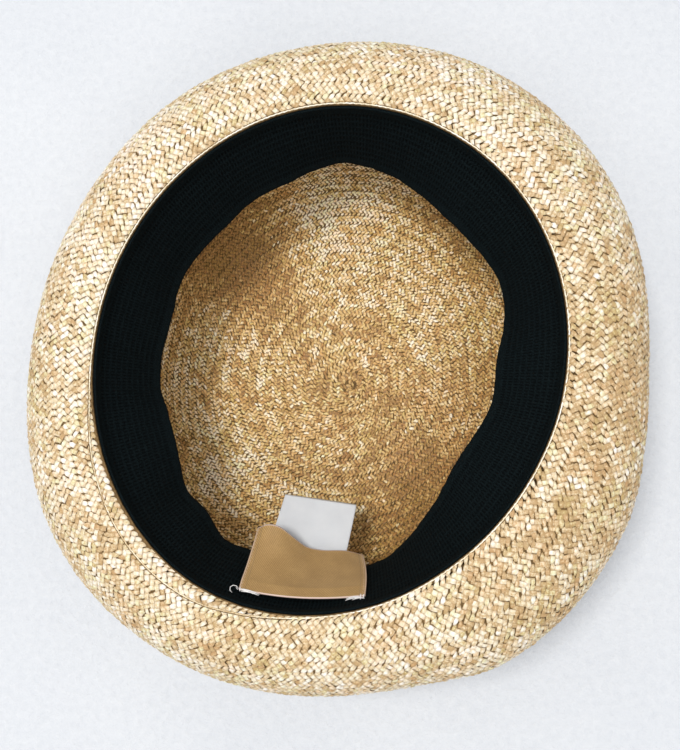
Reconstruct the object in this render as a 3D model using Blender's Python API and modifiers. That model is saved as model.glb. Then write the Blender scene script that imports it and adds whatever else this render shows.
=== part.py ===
# A braided straw hat with a rolled brim, lying on the tip of its crown with the head opening up.
# Metres, +Z up out of the head opening, +Y towards the front of the hat, the labels at the back.

import math

import bmesh
import bpy

# Straw walls, and the gap kept where two pieces meet
straw_wall = 0.0016
seam_gap = 0.0003

# Crown: from the resting face of its tip up to the head opening
crown_depth = 0.100
rest_radius = 0.036
shoulder_height = 0.048
wall_flare = 0.0035
rim_setback = 0.0006

# Head opening, across the crown's inner face, an oval turned a little from the front
opening_length = 0.197
opening_width = 0.179
opening_angle = math.radians(-22)

# Brim: a collar lapped round the crown's rim, a tight turn out and a wide roll down
collar_height = 0.006
turn_radius = 0.004
brim_reach = 0.035
brim_drop = 0.030
roll_angle = math.radians(98)

# Sweatband: a knitted tape sewn in just below the rim
band_width = 0.035
band_thickness = 0.001
band_setback = 0.0012
band_hinge = 0.009
band_lean_angle = math.radians(33)

# Woven label and care tag, sewn to the sweatband at the centre back
back_angle = math.radians(264)
label_width = 0.0485
label_height = 0.030
label_thickness = 0.001
label_setback = 0.0075
label_curl = 0.013
tag_width = 0.032
tag_length = 0.0525
tag_thickness = 0.001
tag_setback = 0.0145
tag_bend_angle = math.radians(24)
tag_turn_angle = math.radians(3)
tag_shift = -0.0045

# How finely the curved walls are divided
directions = 60
band_directions = 72
tip_steps = 3
shoulder_steps = 12
wall_steps = 6
collar_steps = 2
turn_steps = 3
roll_steps = 12
band_steps = 5
label_columns, label_rows = 12, 6
tag_columns, tag_rows = 6, 8

# Columns: direction in degrees, then head opening, brim reach and brim drop as shares of their sizes
outline = [
    (0, 0.995, 0.95, 1.00),
    (30, 0.993, 1.07, 1.05),
    (60, 0.990, 1.07, 1.00),
    (90, 1.005, 0.96, 0.95),
    (120, 1.005, 1.00, 1.00),
    (150, 1.004, 0.96, 1.05),
    (180, 1.000, 0.95, 1.00),
    (210, 1.003, 1.04, 1.00),
    (240, 1.012, 0.95, 1.05),
    (270, 1.000, 0.93, 1.00),
    (285, 0.995, 0.99, 0.95),
    (300, 0.989, 1.19, 0.90),
    (330, 0.992, 1.16, 0.90),
    (345, 0.996, 1.02, 0.95),
]

# Columns: direction in degrees of each crest and hollow of the tape's free edge, its lean as a share
band_waves = [
    (0, 1.43),
    (25, 0.97),
    (45, 1.17),
    (88, 0.62),
    (125, 0.96),
    (150, 0.86),
    (205, 1.27),
    (245, 0.79),
    (275, 0.68),
    (330, 1.54),
]

# Columns: place along the label from its left side, lift of its free edge, as shares
label_waves = [
    (0.00, 0.68),
    (0.22, 1.00),
    (0.55, 0.32),
    (1.00, 0.12),
]


def between(rows, column, place, period=None):
    """A column's value at a place, on a smooth curve through the table's rows."""
    points = [(row[0], row[column]) for row in rows]
    if period:
        place %= period
        first, second, last = points[0], points[1], points[-1]
        before = (last[0] - period, last[1])
        points = [before, *points, (first[0] + period, first[1]), (second[0] + period, second[1])]
    else:
        points = [points[0], *points, points[-1]]
    for before, low, high, after in zip(points, points[1:], points[2:], points[3:]):
        if place <= high[0]:
            break
    span = high[0] - low[0]
    share = (place - low[0]) / span
    start = (high[1] - before[1]) / (high[0] - before[0]) * span
    end = (after[1] - low[1]) / (after[0] - low[0]) * span
    rise = 3 * (high[1] - low[1]) - 2 * start - end
    turn = 2 * (low[1] - high[1]) + start + end
    return low[1] + share * (start + share * (rise + share * turn))


def share_of(column, direction):
    return between(outline, column, math.degrees(direction), 360)


def opening_radius(direction):
    """From the hat's axis to the crown's inner face at the head opening."""
    across = math.cos(direction - opening_angle) / (opening_width / 2)
    along = math.sin(direction - opening_angle) / (opening_length / 2)
    return share_of(1, direction) / math.hypot(across, along)


def wall_face(direction, height):
    """From the hat's axis to the crown's outer face, above its shoulder."""
    share = (height - shoulder_height) / (crown_depth - shoulder_height)
    narrowing = wall_flare * (1 - share * share * (3 - 2 * share))
    return opening_radius(direction) + straw_wall - narrowing


def crown_section(direction):
    """Radius and height along the crown's outer face, from the tip to the rim."""
    section = [(rest_radius * (step + 1) / tip_steps, 0) for step in range(tip_steps)]
    shoulder_width = wall_face(direction, shoulder_height) - rest_radius
    for step in range(shoulder_steps):
        angle = math.pi / 2 * (step + 1) / shoulder_steps
        radius = rest_radius + shoulder_width * math.sin(angle)
        section.append((radius, shoulder_height * (1 - math.cos(angle))))
    rise = crown_depth - rim_setback - shoulder_height
    for step in range(wall_steps):
        height = shoulder_height + rise * (step + 1) / wall_steps
        section.append((wall_face(direction, height), height))
    return section


def brim_section(direction):
    """Radius and height along the brim's upper face, from the foot of its collar to the edge."""
    section = []
    turn_start = crown_depth - turn_radius
    for step in range(collar_steps):
        height = turn_start - collar_height * (1 - step / collar_steps)
        section.append((wall_face(direction, height) + seam_gap, height))
    inner = wall_face(direction, turn_start) + seam_gap
    for step in range(turn_steps + 1):
        angle = math.pi / 2 * step / turn_steps
        radius = inner + turn_radius * (1 - math.cos(angle))
        section.append((radius, turn_start + turn_radius * math.sin(angle)))
    roll_reach = brim_reach * share_of(2, direction) - turn_radius
    roll_drop = brim_drop * share_of(3, direction)
    for step in range(roll_steps):
        angle = roll_angle * (step + 1) / roll_steps
        radius = inner + turn_radius + roll_reach * math.sin(angle)
        section.append((radius, crown_depth - roll_drop * (1 - math.cos(angle))))
    return section


def band_place(direction, distance, lift=0.0):
    """Radius and height at a distance down the tape, lifted off its outer face to the inside."""
    lean = band_lean_angle * between(band_waves, 1, math.degrees(direction), 360)
    # The tape bends in a round arc over the hinge, and runs straight below it
    bent = min(distance, band_hinge)
    arc = band_hinge / lean
    swing = bent / arc
    inward = arc * (1 - math.cos(swing)) + (distance - bent) * math.sin(lean)
    down = arc * math.sin(swing) + (distance - bent) * math.cos(lean)
    inward += lift * math.cos(swing)
    down -= lift * math.sin(swing)
    radius = opening_radius(direction) - seam_gap - inward
    return radius, crown_depth - band_setback - down


def on_band(along, distance, lift, straight=0.0, half_width=0.0):
    """A point along the tape from the centre back and down it, on its curve or pulled straight."""
    middle = band_place(back_angle, distance, lift)[0]
    turn = along / middle
    radius, height = band_place(back_angle + turn, distance, lift)
    chord = middle * math.cos(half_width / middle) / math.cos(turn)
    radius += straight * (chord - radius)
    return at(back_angle + turn, (radius, height))


def at(direction, place):
    radius, height = place
    return radius * math.cos(direction), radius * math.sin(direction), height


def all_round(count, section_of):
    """The rings of a closed wall, from its section in each direction."""
    turns = [2 * math.pi * step / count for step in range(count)]
    sections = [[at(turn, place) for place in section_of(turn)] for turn in turns]
    return [list(ring) for ring in zip(*sections)]


def new_piece(name, rings, thickness, closed=True, tip=None):
    """Skins the rings, and a tip where one is given, and thickens that open surface to a wall."""
    shape = bmesh.new()
    rows = [[shape.verts.new(point) for point in ring] for ring in rings]
    count = len(rows[0])
    for low, high in zip(rows, rows[1:]):
        for step in range(count if closed else count - 1):
            following = (step + 1) % count
            shape.faces.new((low[step], low[following], high[following], high[step]))
    if tip:
        middle = shape.verts.new(tip)
        for step in range(count):
            shape.faces.new((rows[0][(step + 1) % count], rows[0][step], middle))
    mesh = bpy.data.meshes.new(name)
    shape.to_mesh(mesh)
    shape.free()
    mesh.shade_smooth()
    piece = bpy.data.objects.new(name, mesh)
    piece.parent = hat_axis
    hat.objects.link(piece)
    wall = piece.modifiers.new("wall", "SOLIDIFY")
    wall.thickness = thickness
    wall.offset = -1
    wall.use_even_offset = True
    wall.use_quality_normals = True
    return piece


def give_material(piece, name, colour, roughness):
    material = bpy.data.materials.new(name)
    material.use_nodes = True
    shader = material.node_tree.nodes["Principled BSDF"]
    shader.inputs["Base Color"].default_value = (*colour, 1)
    shader.inputs["Roughness"].default_value = roughness
    shader.inputs["Metallic"].default_value = 0
    piece.data.materials.append(material)


def crown():
    rings = all_round(directions, crown_section)
    piece = new_piece("crown", rings, straw_wall, tip=(0, 0, 0))
    give_material(piece, "crown straw", (0.56, 0.40, 0.21), 0.55)


def brim():
    rings = all_round(directions, brim_section)
    # The origin stands under the middle of the brim's outline, so the hat's axis moves off it
    for side in range(2):
        reached = [point[side] for ring in rings for point in ring]
        hat_axis.location[side] = -(min(reached) + max(reached)) / 2
    piece = new_piece("brim", rings[::-1], straw_wall)
    give_material(piece, "brim straw", (0.72, 0.56, 0.34), 0.5)


def sweatband():
    def section(direction):
        return [
            band_place(direction, band_width * step / band_steps)
            for step in range(band_steps + 1)
        ]

    rings = all_round(band_directions, section)
    piece = new_piece("sweatband", rings[::-1], band_thickness)
    give_material(piece, "knitted tape", (0.006, 0.008, 0.011), 0.9)


def woven_label():
    # Its sewn edge lies on the tape, the rest over the care tag, and its free edge waves
    sewn_lift = band_thickness + seam_gap + label_thickness
    rings = []
    for row in range(label_rows + 1):
        down = row / label_rows
        over_tag = tag_thickness + seam_gap if row else 0
        ring = []
        for column in range(label_columns + 1):
            across = column / label_columns
            curl = label_curl * between(label_waves, 1, across) * down**2
            along = (across - 0.5) * label_width
            distance = label_setback + label_height * down
            ring.append(on_band(along, distance, sewn_lift + over_tag + curl))
        rings.append(ring)
    piece = new_piece("woven_label", rings, label_thickness, closed=False)
    give_material(piece, "label weave", (0.38, 0.24, 0.11), 0.7)


def care_tag():
    # It comes out from behind the label a little turned, and bends inwards past the tape
    half_width = tag_width / 2 + abs(tag_shift)
    rings = []
    for row in range(tag_rows + 1):
        straight = (row / tag_rows) ** 2
        down = tag_length * row / tag_rows
        ring = []
        for column in range(tag_columns + 1):
            across = (column / tag_columns - 0.5) * tag_width
            along = tag_shift + across * math.cos(tag_turn_angle) + down * math.sin(tag_turn_angle)
            distance = tag_setback + down * math.cos(tag_turn_angle) - across * math.sin(tag_turn_angle)
            past = max(distance - band_width, 0)
            lift = band_thickness + seam_gap + tag_thickness + past * math.tan(tag_bend_angle)
            ring.append(on_band(along, distance, lift, straight, half_width))
        rings.append(ring)
    piece = new_piece("care_tag", rings, tag_thickness, closed=False)
    give_material(piece, "tag ribbon", (0.75, 0.76, 0.77), 0.6)


for old in list(bpy.data.objects):
    bpy.data.objects.remove(old)
hat = bpy.data.collections.new("straw_hat")
bpy.context.scene.collection.children.link(hat)
hat_axis = bpy.data.objects.new("hat_axis", None)
hat.objects.link(hat_axis)
crown()
brim()
sweatband()
woven_label()
care_tag()
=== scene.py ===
import functools
import math

import bpy
import numpy as np
from mathutils import Matrix, Vector, noise


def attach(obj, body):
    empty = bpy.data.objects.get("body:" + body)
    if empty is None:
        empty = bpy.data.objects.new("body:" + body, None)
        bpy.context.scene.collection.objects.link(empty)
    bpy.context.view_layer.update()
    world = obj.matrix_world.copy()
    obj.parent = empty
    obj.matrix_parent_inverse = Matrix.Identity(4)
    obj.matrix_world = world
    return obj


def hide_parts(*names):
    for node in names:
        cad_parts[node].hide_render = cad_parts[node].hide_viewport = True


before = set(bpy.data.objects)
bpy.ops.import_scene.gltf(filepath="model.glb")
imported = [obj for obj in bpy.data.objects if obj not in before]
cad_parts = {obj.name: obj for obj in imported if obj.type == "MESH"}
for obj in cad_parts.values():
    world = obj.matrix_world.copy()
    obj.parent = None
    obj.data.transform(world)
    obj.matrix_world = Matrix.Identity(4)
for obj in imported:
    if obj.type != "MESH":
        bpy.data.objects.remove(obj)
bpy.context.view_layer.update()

# A braided straw hat with a rolled brim, lying on its crown. Metres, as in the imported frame.
quarter, whole = math.pi / 2, 2 * math.pi

# The hat's own sizes, the same as the solids have
hat = dict(
    strawWall=0.0016, seamGap=0.0003,
    crownDepth=0.100, restRadius=0.036, shoulderHeight=0.048, wallFlare=0.0035,
    openingLength=0.197, openingWidth=0.179, openingAngle=math.radians(-22),
    collarHeight=0.006, turnRadius=0.004, brimReach=0.035, brimDrop=0.030, rollAngle=math.radians(98),
    bandWidth=0.035, bandThickness=0.001, bandSetback=0.0012, bandHinge=0.009, bandLean=math.radians(33),
    backAngle=math.radians(264),
)

# Direction in degrees, then head opening, brim reach and brim drop as shares
outline = [
    (0, 0.995, 0.95, 1.00), (30, 0.993, 1.07, 1.05), (60, 0.990, 1.07, 1.00), (90, 1.005, 0.96, 0.95),
    (120, 1.005, 1.00, 1.00), (150, 1.004, 0.96, 1.05), (180, 1.000, 0.95, 1.00), (210, 1.003, 1.04, 1.00),
    (240, 1.012, 0.95, 1.05), (270, 1.000, 0.93, 1.00), (285, 0.995, 0.99, 0.95), (300, 0.989, 1.19, 0.90),
    (330, 0.992, 1.16, 0.90), (345, 0.996, 1.02, 0.95),
]
# Direction in degrees, then the tape's lean as a share, with finer waves than the solid has
bandWaves = [
    (0, 1.46), (12, 1.18), (25, 1.00), (43, 1.24), (57, 1.17), (73, 0.84), (88, 0.62), (103, 0.86),
    (118, 0.88), (128, 0.98), (150, 0.88), (163, 1.07), (174, 1.04), (186, 1.03), (198, 1.28), (209, 1.29),
    (221, 0.95), (230, 1.05), (238, 0.77), (247, 0.90), (262, 0.70), (283, 0.65), (300, 1.05), (319, 1.56),
    (331, 1.53), (343, 1.38),
]


def between(rows, column, place, period=None):
    # A smooth curve through one column of a table, which goes round where it has a period
    points = [(row[0], row[column]) for row in rows]
    if period:
        place %= period
        first, second, last = points[0], points[1], points[-1]
        points = [(last[0] - period, last[1]), *points]
        points += [(first[0] + period, first[1]), (second[0] + period, second[1])]
    else:
        points = [points[0], *points, points[-1]]
    for before, low, high, after in zip(points, points[1:], points[2:], points[3:]):
        if place <= high[0]:
            break
    span = high[0] - low[0]
    share = (place - low[0]) / span
    start = (high[1] - before[1]) / (high[0] - before[0]) * span
    end = (after[1] - low[1]) / (after[0] - low[0]) * span
    rise = 3 * (high[1] - low[1]) - 2 * start - end
    turn = 2 * (low[1] - high[1]) + start + end
    return low[1] + share * (start + share * (rise + share * turn))


@functools.lru_cache(maxsize=None)
def openingRadius(direction):
    across = math.cos(direction - hat["openingAngle"]) / (hat["openingWidth"] / 2)
    along = math.sin(direction - hat["openingAngle"]) / (hat["openingLength"] / 2)
    return between(outline, 1, math.degrees(direction), 360) / math.hypot(across, along)


@functools.lru_cache(maxsize=None)
def leanAt(direction):
    return hat["bandLean"] * between(bandWaves, 1, math.degrees(direction), 360)


def wallFace(direction, height):
    share = (height - hat["shoulderHeight"]) / (hat["crownDepth"] - hat["shoulderHeight"])
    return openingRadius(direction) + hat["strawWall"] - hat["wallFlare"] * (1 - share * share * (3 - 2 * share))


def crownSection(direction, top):
    # The outer face, from the middle of the tip up to a height
    rest, shoulder = hat["restRadius"], hat["shoulderHeight"]
    section = [(rest * step / 6, 0) for step in range(7)]
    width = wallFace(direction, shoulder) - rest
    for step in range(1, 37):
        angle = quarter * step / 36
        section.append((rest + width * math.sin(angle), shoulder * (1 - math.cos(angle))))
    for step in range(1, 13):
        height = shoulder + (top - shoulder) * step / 12
        section.append((wallFace(direction, height), height))
    return section


def rollSection(direction, steps=40):
    turnStart = hat["crownDepth"] - hat["turnRadius"]
    start = wallFace(direction, turnStart) + hat["seamGap"] + hat["turnRadius"]
    reach = hat["brimReach"] * between(outline, 2, math.degrees(direction), 360) - hat["turnRadius"]
    drop = hat["brimDrop"] * between(outline, 3, math.degrees(direction), 360)
    angles = [hat["rollAngle"] * step / steps for step in range(steps + 1)]
    return [(start + reach * math.sin(a), hat["crownDepth"] - drop * (1 - math.cos(a))) for a in angles]


# Out from the head opening and up from the crown's depth, over the crown's rim
rimBend = [(0.0004, -0.0008), (0.0018, -0.0002), (0.0036, 0.0)]


def brimTopSection(direction):
    # Over the crown's rim first, then round the roll
    opening = openingRadius(direction)
    return [(opening + out, hat["crownDepth"] + up) for out, up in rimBend] + rollSection(direction)


def brimUnderSection(direction):
    # From the foot of the collar, out under the roll
    turnRadius, turnStart = hat["turnRadius"], hat["crownDepth"] - hat["turnRadius"]
    foot = turnStart - hat["collarHeight"]
    inner = wallFace(direction, turnStart) + hat["seamGap"]
    section = [(wallFace(direction, foot) + hat["seamGap"], foot)]
    for step in range(8):
        angle = quarter * step / 8
        section.append((inner + turnRadius * (1 - math.cos(angle)), turnStart + turnRadius * math.sin(angle)))
    return section + rollSection(direction)


def bandPlace(direction, distance, lift=0.0):
    lean, hinge = leanAt(direction), hat["bandHinge"]
    bent = min(distance, hinge)
    arc = hinge / lean
    swing = bent / arc
    inward = arc * (1 - math.cos(swing)) + (distance - bent) * math.sin(lean) + lift * math.cos(swing)
    down = arc * math.sin(swing) + (distance - bent) * math.cos(lean) - lift * math.sin(swing)
    return openingRadius(direction) - hat["seamGap"] - inward, hat["crownDepth"] - hat["bandSetback"] - down


def hatAxis():
    # The brim's outline is centred on the origin, so the hat's axis stands a little off it
    reached = []
    for step in range(60):
        turn = whole * step / 60
        for radius, height in rollSection(turn, 12):
            reached.append((radius * math.cos(turn), radius * math.sin(turn)))
    reached = np.array(reached)
    return -(reached.min(axis=0) + reached.max(axis=0)) / 2


axis = hatAxis()


def at(direction, place):
    radius, height = place
    return axis[0] + radius * math.cos(direction), axis[1] + radius * math.sin(direction), height


def onBand(along, distance, lift, straight=0.0, halfWidth=0.0):
    middle = bandPlace(hat["backAngle"], distance, lift)[0]
    turn = along / middle
    radius, height = bandPlace(hat["backAngle"] + turn, distance, lift)
    chord = middle * math.cos(halfWidth / middle) / math.cos(turn)
    radius += straight * (chord - radius)
    return at(hat["backAngle"] + turn, (radius, height))


# One class for a node's output, so that shader maths reads as expressions
class Wire:
    def __init__(self, shader, socket):
        self.shader, self.socket = shader, socket

    def maths(self, operation, first, second):
        return self.shader.node("Math", {"operation": operation}, {0: first, 1: second})

    def __add__(self, other):
        return self.maths("ADD", self, other)

    def __sub__(self, other):
        return self.maths("SUBTRACT", self, other)

    def __rsub__(self, other):
        return self.maths("SUBTRACT", other, self)

    def __mul__(self, other):
        return self.maths("MULTIPLY", self, other)

    def __pow__(self, other):
        return self.maths("POWER", self, other)

    def __gt__(self, other):
        return self.maths("GREATER_THAN", self, other)

    def __abs__(self):
        return self.shader.node("Math", {"operation": "ABSOLUTE"}, {0: self})

    __radd__, __rmul__ = __add__, __mul__


class Shader:
    def __init__(self, name, **constants):
        self.material = bpy.data.materials.new(name)
        self.material.use_nodes = True
        self.tree = self.material.node_tree
        self.surface = self.tree.nodes["Principled BSDF"]
        for key, value in constants.items():
            self.surface.inputs[key.replace("_", " ")].default_value = value

    def node(self, kind, settings=None, values=None, output=0):
        made = self.tree.nodes.new("ShaderNode" + kind)
        for key, value in (settings or {}).items():
            if key == "stops":
                stops = made.color_ramp.elements
                while len(stops) < len(value):
                    stops.new(0.5)
                for stop, (place, colour) in zip(stops, value):
                    stop.position, stop.color = place, (*colour, 1)
            else:
                setattr(made, key, value)
        for key, value in (values or {}).items():
            if isinstance(value, Wire):
                self.tree.links.new(value.socket, made.inputs[key])
            else:
                made.inputs[key].default_value = value
        return Wire(self, made.outputs[output])

    def attribute(self, name):
        return self.node("Attribute", {"attribute_name": name}, output="Fac")

    def places(self, scale, uv=None):
        source = self.node("UVMap", {"uv_map": uv}) if uv else self.node("TexCoord", output="Object")
        return self.node("Mapping", {}, {"Vector": source, "Scale": scale})

    def split(self, vector):
        parts = self.node("SeparateXYZ", {}, {"Vector": vector}).socket.node
        return Wire(self, parts.outputs[0]), Wire(self, parts.outputs[1])

    def grain(self, vector, scale, detail=2.0, roughness=0.5):
        return self.node("TexNoise", {}, {"Vector": vector, "Scale": scale, "Detail": detail, "Roughness": roughness})

    def ramp(self, factor, stops):
        return self.node("ValToRGB", {"stops": stops}, {"Fac": factor})

    def mix(self, factor, first, second, blend="MIX"):
        settings = {"data_type": "RGBA", "blend_type": blend}
        return self.node("Mix", settings, {0: factor, 6: first, 7: second}, output=2)

    def bump(self, height, distance, strength=1.0):
        return self.node("Bump", {}, {"Height": height, "Distance": distance, "Strength": strength})

    def feed(self, **links):
        for key, value in links.items():
            self.tree.links.new(value.socket, self.surface.inputs[key.replace("_", " ")])
        return self.material


def newPiece(name, points, faces, material, slotName=None, uv=None, **values):
    mesh = bpy.data.meshes.new(name)
    faces = faces.tolist() if isinstance(faces, np.ndarray) else faces
    mesh.from_pydata(np.asarray(points).tolist(), [], faces)
    for key, numbers in values.items():
        mesh.attributes.new(key, "FLOAT", "POINT").data.foreach_set("value", np.asarray(numbers, np.float32).ravel())
    if uv is not None:
        corners = np.empty(len(mesh.loops), np.int32)
        mesh.loops.foreach_get("vertex_index", corners)
        layer = mesh.uv_layers.new(name="strand")
        layer.data.foreach_set("uv", np.asarray(uv, np.float32)[corners].ravel())
    mesh.shade_smooth()
    mesh.materials.append(material)
    piece = bpy.data.objects.new(name, mesh)
    bpy.context.scene.collection.objects.link(piece)
    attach(piece, "root")
    print("made", name, "with", sum(len(face) - 2 for face in faces), "triangles")
    return piece


# Straw: one look for every float; inside the crown a copy painted darker and warmer, as painted shade and painted warm
# bounced light
def strawShader(name, look):
    shader = Shader(name, Specular_IOR_Level=look["gloss"])
    tone, hue, edge = shader.attribute("tone"), shader.attribute("hue"), shader.attribute("edge")
    fibres = shader.grain(shader.places((26, 1.6, 1), "strand"), 1.0, 3.0)
    # Pale flecks on each float: partly the straw's own paler fibres, partly painted highlights
    flecksAndGlints = shader.grain(shader.places((15, 9, 1), "strand"), 1.0, 4.0, 0.65)
    colour = shader.ramp(tone + (fibres - 0.5) * look["streaks"] + (flecksAndGlints - 0.5) * look["flecksAndGlints"], look["stops"])
    colour = shader.mix(0.85, colour, shader.ramp(hue, look["hues"]), "MULTIPLY")
    # Painted shade: each float's edges and ends darken to brown where they dip into the grooves between floats
    grooveShade = edge ** 5.0
    colour = shader.mix(grooveShade * look["edgeShade"], colour, look["edgeColour"])
    rough = 0.52 - tone * 0.14 + fibres * 0.12
    return shader.feed(Base_Color=colour, Roughness=rough, Normal=shader.bump(fibres + flecksAndGlints, 0.00014, 0.7))


strawLook = dict(
    gloss=0.5, streaks=0.9, flecksAndGlints=1.9, edgeShade=0.75, edgeColour=(0.32, 0.20, 0.09, 1),
    stops=[
        (0.0, (0.47, 0.31, 0.145)), (0.22, (0.66, 0.505, 0.295)), (0.48, (0.80, 0.70, 0.505)),
        (0.74, (0.88, 0.82, 0.69)), (1.0, (0.97, 0.95, 0.91)),
    ],
    hues=[(0.0, (1.0, 0.88, 0.78)), (0.35, (1, 0.98, 0.93)), (0.7, (1, 1, 1)), (1.0, (0.94, 0.98, 0.78))],
)
# Painted shade and painted bounced light: the same straw, made darker and more golden inside the crown
innerShadedLook = dict(strawLook, gloss=0.45, edgeColour=(0.21, 0.12, 0.05, 1), stops=[
    (0.0, (0.34, 0.175, 0.050)), (0.25, (0.55, 0.325, 0.105)), (0.55, (0.72, 0.485, 0.185)),
    (0.8, (0.87, 0.68, 0.37)), (1.0, (0.98, 0.90, 0.74)),
])
brimStraw = strawShader("straw on the brim", strawLook)
innerShadedStraw = strawShader("straw inside the crown", innerShadedLook)


def paintedShadeShader():
    # What shows between the floats: painted shade, a dark straw colour standing for the shade under and between them
    shader = Shader("straw in shade", Specular_IOR_Level=0.2)
    spots = shader.grain(shader.places((1, 1, 1)), 900.0, 3.0)
    colour = shader.ramp(spots, [(0.3, (0.085, 0.050, 0.018)), (0.7, (0.20, 0.120, 0.046))])
    return shader.feed(Base_Color=colour, Roughness=spots * 0.2 + 0.7, Normal=shader.bump(spots, 0.0003))


shadedStraw = paintedShadeShader()
# The solids' walls show only between the floats and at the rim, so they take the painted shade colour
for solid in ("crown", "brim"):
    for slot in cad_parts[solid].material_slots:
        slot.material = shadedStraw


class Face:
    # A face of a straw wall, found by direction and by the share of the way along its section
    directions, samples = 360, 240

    def __init__(self, sectionOf, outwards, inset=0.0, middle=(0.0, 0.0)):
        rows = []
        for step in range(self.directions):
            section = np.array(sectionOf(whole * step / self.directions))
            along = np.concatenate([[0], np.cumsum(np.linalg.norm(np.diff(section, axis=0), axis=1))])
            places = np.linspace(0, along[-1], self.samples + 1)
            rows.append(np.stack([np.interp(places, along, section[:, k]) for k in range(2)], axis=1))
        table = np.array(rows)
        slope = np.gradient(table, axis=1)
        normal = np.stack([slope[..., 1], -slope[..., 0]], axis=2)
        normal /= np.linalg.norm(normal, axis=2, keepdims=True)
        table = table - normal * inset  # the section's own outer side is on its right
        self.table = np.concatenate([table, normal * outwards], axis=2)
        self.lengths = np.linalg.norm(np.diff(table, axis=1), axis=2).sum(axis=1)
        self.middle = np.array(middle)

    def look(self, turns, shares):
        turns = (turns / whole * self.directions) % self.directions
        low = np.floor(turns).astype(int) % self.directions
        part = (turns - np.floor(turns))[..., None]
        shares = np.clip(shares, 0, 1) * self.samples
        ring = np.minimum(np.floor(shares).astype(int), self.samples - 1)
        step = (shares - ring)[..., None]
        high = (low + 1) % self.directions
        near = self.table[low, ring] * (1 - step) + self.table[low, ring + 1] * step
        far = self.table[high, ring] * (1 - step) + self.table[high, ring + 1] * step
        return near * (1 - part) + far * part

    def length(self, turns):
        places = np.arange(self.directions + 1) * whole / self.directions
        return np.interp(turns % whole, places, np.append(self.lengths, self.lengths[0]))

    def place(self, turns, shares, lifts):
        found = self.look(turns, shares)
        radius = found[..., 0] + found[..., 2] * lifts
        height = found[..., 1] + found[..., 3] * lifts
        # The braid starts a little off the tip's middle
        fade = np.clip(1 - found[..., 0] / (0.95 * hat["restRadius"]), 0, 1)
        x = axis[0] + radius * np.cos(turns) + self.middle[0] * fade
        y = axis[1] + radius * np.sin(turns) + self.middle[1] * fade
        return np.stack([x, y, height], axis=-1)


# A float is one visible length of straw: rounded across, both ends tucked under its neighbours
flatFloat = dict(across=[-1.0, -0.66, 0.66, 1.0], acrossHeight=[-0.26, 0.06, 0.06, -0.26])
roundFloat = dict(across=[-1.0, 0.0, 1.0], acrossHeight=[-0.28, 0.10, -0.28])
alongFloat = np.array([-1.0, 0.0, 1.0])
alongHeight = np.array([-0.30, 0.07, -0.30])
# Columns of floats in one row of braid: place in the row, lean, and which end is narrow
plaitColumns = [(-1 / 3, -1, 1), (0.0, 1, 0), (1 / 3, -1, -1)]
# How unevenly the floats are cut and laid
uneven = dict(
    angle=0.10, length=(0.90, 1.08), width=(0.84, 1.10), lift=0.00007, lean=0.00010,
    stagger=0.37, rowEdge=1.2, leastRadius=0.0018,
)
# How their colour wanders: scales of the noise, then what each part adds
colouring = dict(
    fine=210, broad=45, broadShare=0.5, alongStraw=130, acrossRows=1.3, perColumn=0.4, cloudShare=0.75, runShare=0.7,
    straws=7, strawRun=60, middleTone=0.46, cloudTone=0.52, strawTone=0.30, toneSpread=0.17, leastTone=0.02,
    hueScale=60, hueSpread=0.32,
)


def floatColours(rng, middle, along, row, order, plait):
    # Pale lengths run on for a few floats, and each straw comes back every seventh float
    count, by = len(middle), colouring
    spots = [Vector(spot) for spot in middle]
    fine = np.array([noise.noise(spot * by["fine"]) for spot in spots])
    broad = np.array([noise.noise(spot * by["broad"] + Vector((7, 3, 1))) for spot in spots])
    runs = np.array([
        noise.noise((s * by["alongStraw"], r * by["acrossRows"], order * by["perColumn"])) for s, r in zip(along, row)
    ])
    cloud = (fine + by["broadShare"] * broad) * by["cloudShare"] + by["runShare"] * runs
    straws = rng.uniform(0, 1, (by["straws"], count // by["strawRun"] + 2))
    own = straws[np.arange(count) % by["straws"], np.arange(count) // by["strawRun"]]
    tone = by["middleTone"] + by["cloudTone"] * cloud + by["strawTone"] * (own - 0.5)
    tone = tone + rng.normal(0, by["toneSpread"], count) + plait["pale"]
    # Painted light and shade: paler and browner patches laid on the tone
    for x, y, spread, amount in plait["patches"]:
        tone = tone + amount * np.exp(-((middle[:, 0] - x) ** 2 + (middle[:, 1] - y) ** 2) / spread ** 2)
    hue = np.array([noise.noise(spot * by["hueScale"] + Vector((2, 9, 4))) for spot in spots])
    hue = 0.5 + 0.5 * hue + rng.normal(0, by["hueSpread"], count)
    return np.clip(tone, by["leastTone"], 1), np.clip(hue, 0, 1)


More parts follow.
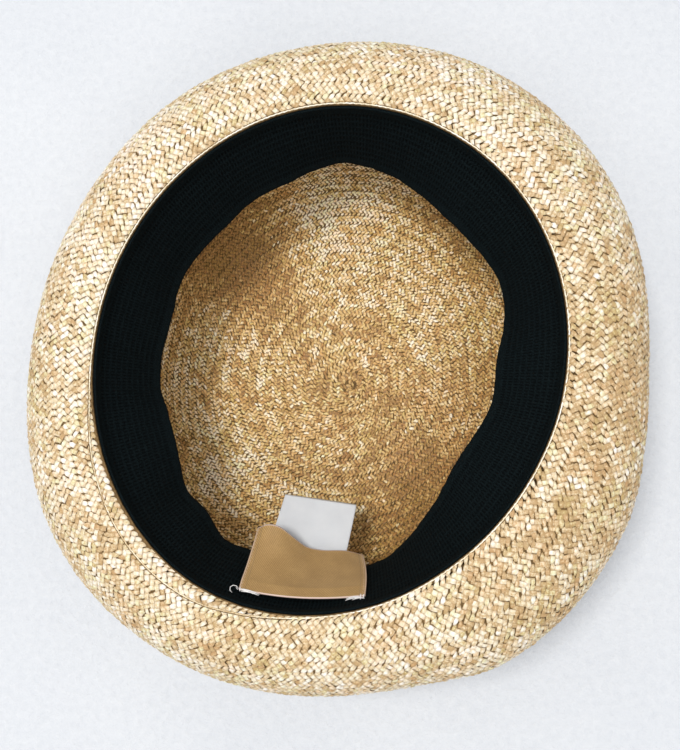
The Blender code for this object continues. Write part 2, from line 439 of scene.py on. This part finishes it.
def braid(name, face, plait, material, slotName):
    rng = np.random.default_rng(plait["seed"])
    # One spiral from the middle or the rim outwards, a row wider each turn
    turns = np.linspace(-whole, whole * (plait["rows"] + 1), (plait["rows"] + 2) * 720 + 1)
    rowShare = 1 / plait["rows"]
    radius = face.look(turns, turns / whole * rowShare)[..., 0]
    run = np.concatenate([[0], np.cumsum((radius[1:] + radius[:-1]) / 2 * np.diff(turns))])
    b, a = [grid.ravel() for grid in np.meshgrid(alongFloat, plait["across"], indexing="ij")]
    size, wideCount = len(a), len(plait["across"])
    heights = alongHeight[:, None] + np.array(plait["acrossHeight"])[None, :]  # in millimetres
    low = heights.ravel() * 0.001 * plait["rise"]
    quads = np.array([
        (r * wideCount + c, r * wideCount + c + 1, (r + 1) * wideCount + c + 1, (r + 1) * wideCount + c)
        for r in range(len(alongFloat) - 1) for c in range(wideCount - 1)
    ])
    columnShare = rowShare / len(plaitColumns)
    points, faces, tones, hues, edges, uvs = [], [], [], [], [], []
    made = 0
    for order, (offset, side, narrow) in enumerate(plaitColumns):
        starts = np.arange(0, run[-1], plait["step"]) + order * uneven["stagger"] * plait["step"]
        turn = np.interp(starts, run, turns)
        share = turn / whole * rowShare + offset * rowShare
        kept = (share > plait["least"]) & (share < 1 - 0.2 * columnShare)
        turn, share, along = turn[kept], share[kept], starts[kept]
        count = len(turn)
        length = face.length(turn)
        angle = plait["slant"] + rng.normal(0, uneven["angle"], count)
        long = length * columnShare / np.sin(plait["slant"]) + plait["tuck"]
        long = long * rng.uniform(*uneven["length"], count)
        wide = plait["step"] * math.sin(plait["slant"]) * plait["fill"] * rng.uniform(*uneven["width"], count)
        taper = 1 - plait["taper"] * np.clip(narrow * b, 0, 1)
        halfLong, halfWide = long[:, None] / 2 * b, wide[:, None] / 2 * a * taper
        u = halfLong * np.cos(angle)[:, None] + halfWide * np.sin(angle)[:, None]
        v = side * (halfLong * np.sin(angle)[:, None] - halfWide * np.cos(angle)[:, None])
        u = u + rng.normal(0, plait["loose"], count)[:, None]
        v = v + rng.normal(0, plait["loose"], count)[:, None]
        onFace = np.clip(share[:, None] + v / length[:, None], 0, 1)
        reach = face.look(np.broadcast_to(turn[:, None], onFace.shape), onFace)[..., 0]
        around = turn[:, None] + u / np.maximum(reach, uneven["leastRadius"])
        lift = plait["lift"] + low + rng.normal(0, uneven["lift"], count)[:, None]
        lift = lift + a * rng.normal(0, uneven["lean"], count)[:, None]
        lift = lift + b * rng.normal(0, uneven["lean"], count)[:, None]
        # Each row lies with one edge over the row before it
        inRow = 2 * ((onFace - share[:, None]) / rowShare + offset)
        lift = lift + plait["overlap"] * np.clip(inRow, -uneven["rowEdge"], uneven["rowEdge"])
        place = face.place(around, onFace, lift)
        # Which way round the faces go, from one float in the middle
        half = count // 2
        p, q, r = place[half][[0, 1, wideCount]]
        found = face.look(turn[half:half + 1], share[half:half + 1])[0]
        out = np.array([found[2] * math.cos(turn[half]), found[2] * math.sin(turn[half]), found[3]])
        corners = quads if np.dot(np.cross(q - p, r - p), out) > 0 else quads[:, ::-1]
        tone, hue = floatColours(rng, place.mean(axis=1), along, share / rowShare, order, plait)
        points.append(place.reshape(-1, 3))
        faces.append((corners[None] + made + size * np.arange(count)[:, None, None]).reshape(-1, 4))
        tones.append(np.repeat(tone, size))
        hues.append(np.repeat(hue, size))
        edges.append(np.broadcast_to(np.maximum(np.abs(a), np.abs(b)), place.shape[:2]).ravel())
        shift = rng.uniform(0, 90, (count, 2))
        uvs.append(np.stack([a * 0.05 + shift[:, :1], b * 0.2 + shift[:, 1:]], axis=-1).reshape(-1, 2))
        made += size * count
    points, faces, tones, hues, edges, uvs = (
        np.concatenate(parts) for parts in (points, faces, tones, hues, edges, uvs)
    )
    return newPiece(name, points, faces, material, slotName, uvs, tone=tones, hue=hues, edge=edges)


plaitUsual = dict(
    flatFloat, step=0.0026, slant=math.radians(46), fill=1.06, tuck=0.0006, taper=0.50, loose=0.00015,
    lift=0.00042, rise=1.0, overlap=0.00020, least=-0.003, pale=-0.02, patches=[],
)
wall = hat["strawWall"]
braidMiddle = (0.003, -0.004)
innerTop, outerTop = 0.080, 0.0915  # the braid ends behind the tape, and at the collar
brimTop = Face(brimTopSection, -1)
brimUnder = Face(brimUnderSection, 1, inset=-wall)
inside = Face(lambda turn: crownSection(turn, innerTop), -1, inset=wall, middle=braidMiddle)
outside = Face(lambda turn: crownSection(turn, outerTop), 1, middle=braidMiddle)
# Place, reach and amount of painted light and shade in the straw's colour: paler where light falls, browner where
# shade falls
brimPaintedShading = [
    (0.115, 0.000, 0.050, -0.26), (0.088, -0.085, 0.040, -0.14), (-0.085, 0.085, 0.045, 0.14),
    (0.08, 0.09, 0.04, 0.06),
]
# Inside the crown the browner patch at the upper left is a painted shadow of the tape, the browner one at the lower
# right is painted shade, and the paler ones are painted light
innerPaintedShading = [
    (0.000, 0.080, 0.030, 0.50), (-0.064, 0.008, 0.026, 0.22), (-0.056, -0.046, 0.030, 0.28),
    (0.046, 0.036, 0.026, 0.18), (0.040, -0.056, 0.026, -0.60), (-0.054, 0.056, 0.023, -0.75),
]
brimTopPlait = dict(plaitUsual, seed=3, rows=11, patches=brimPaintedShading)
brimUnderPlait = dict(plaitUsual, seed=4, rows=13)
innerPlait = dict(
    plaitUsual, **roundFloat, seed=5, rows=33, step=0.0020, loose=0.00012, rise=0.9,
    least=0.003, overlap=0.00016, patches=innerPaintedShading,
)
outerPlait = dict(plaitUsual, seed=6, rows=30, least=0.010, lift=0.00034)
braid("brimTopBraid", brimTop, brimTopPlait, brimStraw, "brim_straw")
braid("brimUnderBraid", brimUnder, brimUnderPlait, brimStraw, "brim_straw")
braid("crownInnerBraid", inside, innerPlait, innerShadedStraw, "crown_straw")
braid("crownOuterBraid", outside, outerPlait, brimStraw, "crown_straw")


def ringFaces(around, along):
    # Quads of a grid that closes on itself both ways
    rows, columns = np.arange(around)[:, None], np.arange(along)[None, :]
    nextRow, nextColumn = (rows + 1) % around, (columns + 1) % along
    return np.stack([
        rows * along + columns, nextRow * along + columns,
        nextRow * along + nextColumn, rows * along + nextColumn,
    ], axis=-1).reshape(-1, 4)


# The sweatband: a mesh-knit tape with rows of small upright holes
tape = dict(
    holes=420, perHole=3, rows=10, margin=0.0042, freeMargin=0.0034, depth=0.00036, sunk=(0.35, 1.25), seed=8,
    ribs=0.00006, ripple=0.0005, rippleScales=[(9, 1), (26, 5)], fineRipple=0.6, edgeRound=0.0002,
)


def tapeShader():
    shader = Shader("knitted tape", Specular_IOR_Level=0.05)
    knit = shader.grain(shader.places((1, 1, 1)), 2400.0, 2.0)
    holes = shader.attribute("hole")
    colour = shader.ramp(knit, [(0.36, (0.0005, 0.0013, 0.0017)), (0.64, (0.0060, 0.0110, 0.0125))])
    # Painted shade: the holes are darkened to near black for the shade inside them
    colour = shader.mix(holes, colour, (0.0003, 0.0004, 0.0005, 1))
    return shader.feed(Base_Color=colour, Roughness=knit * 0.2 + 0.72, Normal=shader.bump(knit, 0.00035))


def tapeRipple(turn):
    broad, fine = (
        noise.noise(Vector((math.cos(turn) * scale, math.sin(turn) * scale, layer)))
        for scale, layer in tape["rippleScales"]
    )
    return tape["ripple"] * (broad + tape["fineRipple"] * fine)


def sweatband():
    around = tape["holes"] * tape["perHole"]
    width, margin, thick = hat["bandWidth"], tape["margin"], hat["bandThickness"]
    rowHeight = (width - margin - tape["freeMargin"]) / tape["rows"]
    inner = [0.0, 0.0008, margin * 0.5, margin - 0.0004]
    for row in range(tape["rows"]):
        inner += [margin + rowHeight * (row + part) for part in (0.08, 0.28, 0.72, 0.92)]
    inner += [width - 0.0014, width - 0.0006, width]
    points, holes = [], []
    sunk = np.random.default_rng(tape["seed"]).uniform(*tape["sunk"], (around, tape["rows"]))
    for n in range(around):
        turn = whole * n / around
        phase = n % tape["perHole"]
        wave = tapeRipple(turn)
        ring = []
        for distance in inner:
            inRow = (distance - margin) / rowHeight
            part = inRow - math.floor(inRow)
            knitted = 0 <= inRow < tape["rows"]
            hole = 1.0 if knitted and 0.2 < part < 0.8 and phase == 0 else 0.0
            depth = tape["depth"] * sunk[n, int(inRow)] if hole else 0
            rib = tape["ribs"] if knitted and phase == 2 else 0.0
            ring.append((distance, thick - depth + rib + wave * (distance / width) ** 2, hole))
        # Round the free edge, then back up behind
        ring.append((width + tape["edgeRound"], thick * 0.5 + wave, 0.0))
        for part in (1.0, 0.75, 0.5, 0.25, 0.0):
            ring.append((width * part, wave * part ** 2, 0.0))
        for distance, lift, hole in ring:
            points.append(at(turn, bandPlace(turn, distance, lift)))
            holes.append(hole)
    faces = ringFaces(around, len(ring))
    piece = newPiece("sweatbandTape", points, faces, tapeShader(), "knitted_tape", hole=holes)
    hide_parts("sweatband")
    return piece


sweatbandTape = sweatband()


# The rim: the crown's last braid folded to a thin edge, with a thin dark cord just outside it as a painted shade line
rim = dict(
    twists=262, perTwist=4, sides=8, edgeRadius=0.00025, edgeTwist=0.30, edgeLift=0.00066, edgeTone=0.28,
    plainLift=0.00034, plainTone=0.62, shadeLineRadius=0.00013, shadeLineTwist=0.25, shadeLineOff=0.00040,
    brimRadius=0.00100, brimTwist=0.12, brimTone=0.36, plainDrift=0.0002, riseOver=0.0012,
)
# Direction in degrees, then how far the rim's edge lies from the head opening, in metres
rimDrift = [
    (0, 0.0002), (60, 0.0002), (120, 0.0002), (165, 0.0002), (190, 0.0008), (207, 0.0040), (222, 0.0058),
    (240, 0.0050), (254, 0.0020), (268, 0.0004), (300, 0.0002),
]


def ringCord(name, radius, routeAt, material, twist):
    # A cord round the brim's face, routed by share, lift and tone
    around = rim["twists"] * rim["perTwist"]
    points, tones, uvs = [], [], []
    for n in range(around):
        turn = whole * n / around
        share, lift, usualTone = routeAt(turn)
        inner = max(share - 0.01, 0)
        spots = ((share, lift), (share, lift + 0.001), (inner, lift), (inner + 0.01, lift))
        middle, above, before, after = (Vector(brimTop.place(turn, *spot)) for spot in spots)
        up, ahead = (above - middle).normalized(), (after - before).normalized()
        phase = whole * n / rim["perTwist"]
        for side in range(rim["sides"]):
            angle = whole * side / rim["sides"]
            rough = noise.noise(Vector((n * 0.7, side, 3)))
            swell = radius * (1 + twist * math.cos(phase + angle) + 1.2 * twist * rough)
            place = middle + ahead * (swell * math.cos(angle) * 1.15) + up * (swell * math.sin(angle) * 0.9)
            points.append(place)
            tones.append(usualTone + 0.5 * noise.noise(place * 190))
            uvs.append((angle * 0.02 + n // rim["perTwist"], n * 0.1))
    zero = np.zeros(len(points))
    faces = ringFaces(around, rim["sides"])
    tones = np.clip(tones, 0, 1)
    return newPiece(name, points, faces, material, "brim_straw", uvs, tone=tones, hue=zero + 0.6, edge=zero)


def rimRoute(off):
    # The fold lies at the rim, and comes up over the braid where it leaves it
    def routeAt(turn):
        drift = between(rimDrift, 1, math.degrees(turn), 360)
        risen = min(1, max(0, drift - rim["plainDrift"]) / rim["riseOver"])
        lift = rim["plainLift"] + risen * (rim["edgeLift"] - rim["plainLift"])
        tone = rim["plainTone"] + risen * (rim["edgeTone"] - rim["plainTone"])
        return (drift + off) / float(brimTop.length(turn)), lift, tone
    return routeAt


def brimRoute(turn):
    # Along the middle of the brim wall's end
    return 1.0, -hat["strawWall"] / 2, rim["brimTone"]


ringCord("rimEdge", rim["edgeRadius"], rimRoute(0.0), brimStraw, rim["edgeTwist"])
# A painted shade line: a dark cord in the shade colour beside the rim's fold
ringCord("rimShadeLine", rim["shadeLineRadius"], rimRoute(rim["shadeLineOff"]), shadedStraw, rim["shadeLineTwist"])
ringCord("brimEdge", rim["brimRadius"], brimRoute, brimStraw, rim["brimTwist"])


# The woven label and the care tag, both bare
label = dict(
    width=0.0485, height=0.030, thickness=0.00045, cadThickness=0.001, setback=0.0075, curl=0.013,
    columns=120, rows=64, narrow=0.0040, straight=0.45, tilt=0.0026,
    waves=[
        (0.00, 0.52), (0.11, 0.80), (0.23, 0.86), (0.36, 0.66), (0.48, 0.44), (0.60, 0.37), (0.82, 0.30), (1.00, 0.02),
    ],
)
tag = dict(
    width=0.032, length=0.0525, thickness=0.00030, cadThickness=0.001, setback=0.0145, bend=math.radians(20.5),
    turn=math.radians(3), shift=-0.0045, columns=40, rows=60,
)


def labelPlace(across, down, lift=0.0):
    fallen = max(down, 0)  # stitches also lie above the sewn edge
    overTag = (tag["cadThickness"] + hat["seamGap"]) * min(1, down * 6)
    sewn = hat["bandThickness"] + hat["seamGap"] + label["cadThickness"]
    curl = label["curl"] * between(label["waves"], 1, across) * fallen ** 2
    along = (across - 0.5) * label["width"] - label["narrow"] * across * fallen ** 2
    straight = label["straight"] * (1 - fallen)
    distance = label["setback"] + label["height"] * down + label["tilt"] * across
    return onBand(along, distance, sewn + overTag + curl + lift, straight, label["width"] / 2)


def tagPlace(across, share, lift=0.0):
    straight, down = share ** 2, tag["length"] * share
    off = (across - 0.5) * tag["width"]
    along = tag["shift"] + off * math.cos(tag["turn"]) + down * math.sin(tag["turn"])
    distance = tag["setback"] + down * math.cos(tag["turn"]) - off * math.sin(tag["turn"])
    past = max(distance - hat["bandWidth"], 0)
    raised = hat["bandThickness"] + hat["seamGap"] + tag["cadThickness"] + past * math.tan(tag["bend"]) + lift
    return onBand(along, distance, raised, straight, tag["width"] / 2 + abs(tag["shift"]))


def sheetPiece(name, placeOf, cloth, material, slotName):
    # Two faces of the cloth and the narrow edge between them
    columns, rows, thick = cloth["columns"], cloth["rows"], cloth["thickness"]
    front = [(c / columns, r / rows) for r in range(rows + 1) for c in range(columns + 1)]
    points = [placeOf(x, y, 0.0) for x, y in front] + [placeOf(x, y, -thick) for x, y in front]
    wide, size = columns + 1, len(front)
    faces = []
    for r in range(rows):
        for c in range(columns):
            i = r * wide + c
            faces.append((i, i + wide, i + wide + 1, i + 1))
            faces.append((size + i, size + i + 1, size + i + wide + 1, size + i + wide))
    edge = list(range(columns)) + [r * wide + columns for r in range(rows)]
    edge += [rows * wide + c for c in range(columns, 0, -1)] + [r * wide for r in range(rows, 0, -1)]
    for i, j in zip(edge, edge[1:] + edge[:1]):
        faces.append((i, j, j + size, i + size))
    return newPiece(name, points, faces, material, slotName, front + front)


def labelShader():
    shader = Shader("label weave", Specular_IOR_Level=0.5, Sheen_Weight=0.15)
    across, down = shader.split(shader.places((1, 1, 1), "strand"))
    cloth = shader.places((1.0, 0.62, 1), "strand")
    twill = shader.node("TexWave", {"wave_type": "BANDS", "bands_direction": "DIAGONAL"}, {
        "Vector": cloth, "Scale": 30.0, "Distortion": 1.2, "Detail": 1.0, "Detail Scale": 3.0})
    patches = shader.grain(cloth, 5.0, 3.0)
    yarns = shader.grain(shader.places((170, 26, 1), "strand"), 1.0, 2.0)
    colour = shader.ramp(twill * 0.34 + patches * 0.45 + yarns * 0.45 - 0.12, [
        (0.2, (0.235, 0.130, 0.040)), (0.55, (0.385, 0.230, 0.080)), (0.9, (0.58, 0.385, 0.165))])
    # The overlocked edges show the pale back of the weave
    sides, ends = abs(across - 0.5), abs(down - 0.5)
    colour = shader.mix((ends > 0.486) * 0.9, colour, (0.70, 0.53, 0.45, 1))
    colour = shader.mix((sides > 0.489) * 0.7, colour, (0.62, 0.45, 0.34, 1))
    # A pressed hem runs down both sides
    hem = (sides > 0.448) - (sides > 0.454)
    colour = shader.mix(hem * 0.35, colour, (0.13, 0.075, 0.03, 1))
    relief = twill * 0.5 + yarns * 0.6 - hem * 1.2
    return shader.feed(Base_Color=colour, Roughness=yarns * 0.2 + 0.38, Normal=shader.bump(relief, 0.00014))


def tagShader():
    shader = Shader("tag ribbon", Specular_IOR_Level=0.4)
    ribs = shader.node("TexWave", {"wave_type": "BANDS", "bands_direction": "X"}, {
        "Vector": shader.places((1, 1, 1), "strand"), "Scale": 30.0, "Distortion": 0.2})
    cloth = shader.grain(shader.places((1, 1.6, 1), "strand"), 4.0, 3.0)
    colour = shader.ramp(cloth * 0.7 + ribs * 0.2, [(0.2, (0.65, 0.67, 0.70)), (0.8, (0.77, 0.785, 0.80))])
    return shader.feed(Base_Color=colour, Roughness=cloth * 0.2 + 0.42, Normal=shader.bump(ribs, 0.00003))


wovenLabel = sheetPiece("wovenLabel", labelPlace, label, labelShader(), "label_weave")
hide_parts("woven_label")
careTag = sheetPiece("careTag", tagPlace, tag, tagShader(), "tag_ribbon")
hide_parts("care_tag")


# Stitches: short lengths of thread, each a small bent tube
def threads(name, lines, radius, material, sides=6):
    points, faces = [], []
    for line in lines:
        line = [Vector(p) for p in line]
        start = len(points)
        for n, p in enumerate(line):
            ahead = (line[min(n + 1, len(line) - 1)] - line[max(n - 1, 0)]).normalized()
            side = ahead.cross(Vector((0.13, 0.21, 1.0))).normalized()
            up = side.cross(ahead)
            slim = 0.45 if n in (0, len(line) - 1) else 1.0
            for k in range(sides):
                angle = whole * k / sides
                points.append(p + (side * math.cos(angle) + up * math.sin(angle)) * radius * slim)
        for n in range(len(line) - 1):
            for k in range(sides):
                i, j = start + n * sides + k, start + n * sides + (k + 1) % sides
                faces.append((i, j, j + sides, i + sides))
        faces.append(tuple(start + k for k in range(sides - 1, -1, -1)))
        faces.append(tuple(start + (len(line) - 1) * sides + k for k in range(sides)))
    return newPiece(name, points, faces, material, "label_weave")


def threadShader(name, dark, pale):
    shader = Shader(name, Specular_IOR_Level=0.3)
    ply = shader.grain(shader.places((1, 1, 1)), 3000.0, 2.0)
    return shader.feed(Base_Color=shader.ramp(ply, [(0.3, dark), (0.7, pale)]), Roughness=ply * 0.2 + 0.6)


stitchRise = [(0, -0.6), (0.25, 0.6), (0.5, 1.0), (0.75, 0.6), (1, -0.6)]
sideStitch = dict(places=(0.020, 0.978), start=0.03, end=0.98, count=19, fill=0.62, lift=0.00020, radius=0.00013)
tack = dict(count=1, fill=0.98, lift=0.00032, radius=0.00021)
looseThread = dict(lift=0.0003, sway=0.0006, radius=0.00014)


def stitchLine(first, last, stitch):
    # Stitches in a row on the label, each going down into the cloth at its ends
    lines, count, fill = [], stitch["count"], stitch["fill"]
    for n in range(count):
        start, end = (n + 0.5 - fill / 2) / count, (n + 0.5 + fill / 2) / count
        line = []
        for k, rise in stitchRise:
            share = start + (end - start) * k
            x, y = (first[m] + (last[m] - first[m]) * share for m in range(2))
            line.append(labelPlace(x, y, stitch["lift"] * rise))
        lines.append(line)
    return lines


edgeThread = threadShader("label edge thread", (0.42, 0.27, 0.16), (0.66, 0.49, 0.36))
whiteThread = threadShader("white thread", (0.72, 0.68, 0.66), (0.92, 0.90, 0.88))
sideStitches = []
for across in sideStitch["places"]:
    sideStitches += stitchLine((across, sideStitch["start"]), (across, sideStitch["end"]), sideStitch)
threads("labelStitches", sideStitches, sideStitch["radius"], edgeThread)
# Start and end of each tack over the label's sewn edge, as shares of its width and height
tackEnds = [
    ((0.000, 0.012), (0.170, -0.022)), ((0.005, -0.010), (0.120, -0.030)), ((0.02, -0.028), (0.165, -0.040)),
    ((0.845, -0.050), (0.990, -0.020)), ((0.850, -0.026), (0.965, -0.004)), ((0.900, -0.050), (1.000, -0.040)),
    ((0.966, -0.055), (0.962, 0.045)), ((0.990, -0.045), (0.986, 0.030)), ((0.012, -0.030), (0.008, 0.045)),
]
tacks = []
for first, last in tackEnds:
    tacks += stitchLine(first, last, tack)
threads("labelTacks", tacks, tack["radius"], whiteThread)
looseEnds = [
    [(0.004, -0.012), (-0.020, 0.006), (-0.045, 0.004), (-0.064, -0.022), (-0.060, -0.060), (-0.040, -0.082)],
    [(-0.022, 0.004), (-0.012, -0.030), (0.000, -0.058)],
]
looseLines = [
    [labelPlace(x, y, looseThread["lift"] + looseThread["sway"] * math.sin(n)) for n, (x, y) in enumerate(line)]
    for line in looseEnds
]
threads("looseThread", looseLines, looseThread["radius"], whiteThread)


# Floor, light and camera
def floorShader():
    shader = Shader("pale floor", Specular_IOR_Level=0.2)
    fine = shader.grain(shader.places((1, 1, 1)), 260.0, 4.0, 0.6)
    broad = shader.grain(shader.places((1, 1, 1)), 6.0, 2.0)
    colour = shader.ramp(fine * 0.5 + broad * 0.5, [(0.3, (0.575, 0.595, 0.63)), (0.7, (0.67, 0.685, 0.71))])
    return shader.feed(Base_Color=colour, Roughness=fine * 0.1 + 0.8, Normal=shader.bump(fine, 0.0012))


ground = dict(size=6, height=-0.0008)  # under the floats on the crown's tip
bpy.ops.mesh.primitive_plane_add(size=ground["size"], location=(0, 0, ground["height"]))
floor = bpy.context.object
floor.name = "floor"
floor.data.materials.append(floorShader())
print("floor laid")

studio = dict(
    keyPlace=(-0.32, 0.16, 1.80), keySize=0.40, keyPower=20.0, keyColour=(1.0, 0.985, 0.96),
    fillPlace=(0.20, -0.60, 1.8), fillSize=1.4, fillPower=8.5, fillColour=(1, 1, 1),
    aim=(0, 0, 0.06), skyColour=(0.96, 0.975, 1.0), skyPower=0.70,
)


def areaLight(name, place, size, power, colour):
    lamp = bpy.data.lights.new(name, "AREA")
    lamp.shape, lamp.size, lamp.energy, lamp.color = "DISK", size, power, colour
    holder = bpy.data.objects.new(name, lamp)
    holder.location = place
    holder.rotation_euler = (Vector(studio["aim"]) - Vector(place)).to_track_quat("-Z", "Y").to_euler()
    bpy.context.scene.collection.objects.link(holder)


for lamp in ("key", "fill"):
    areaLight(lamp + "Light", *(studio[lamp + part] for part in ("Place", "Size", "Power", "Colour")))
world = bpy.data.worlds.new("studio sky")
world.use_nodes = True
sky = world.node_tree.nodes["Background"]
sky.inputs["Color"].default_value = (*studio["skyColour"], 1)
sky.inputs["Strength"].default_value = studio["skyPower"]
bpy.context.scene.world = world
bpy.context.scene.view_settings.view_transform = "Standard"

view = dict(place=(0.0353, -0.0452, 0.430), target=(0.0056, -0.0086, 0.100), lens=42.53, sensor=36, near=0.01)
camera = bpy.data.cameras.new("camera")
camera.lens, camera.clip_start, camera.sensor_fit = view["lens"], view["near"], "VERTICAL"
camera.sensor_width = camera.sensor_height = view["sensor"]
hatMiddle = Vector((*axis, 0))
place = Vector(view["place"]) + hatMiddle
back = (place - Vector(view["target"]) - hatMiddle).normalized()
right = Vector((0, 1, 0)).cross(back).normalized()
cameraHolder = bpy.data.objects.new("camera", camera)
cameraHolder.matrix_world = Matrix.Translation(place) @ Matrix((right, back.cross(right), back)).transposed().to_4x4()
bpy.context.scene.collection.objects.link(cameraHolder)
bpy.context.scene.camera = cameraHolder
print("lights and camera set")
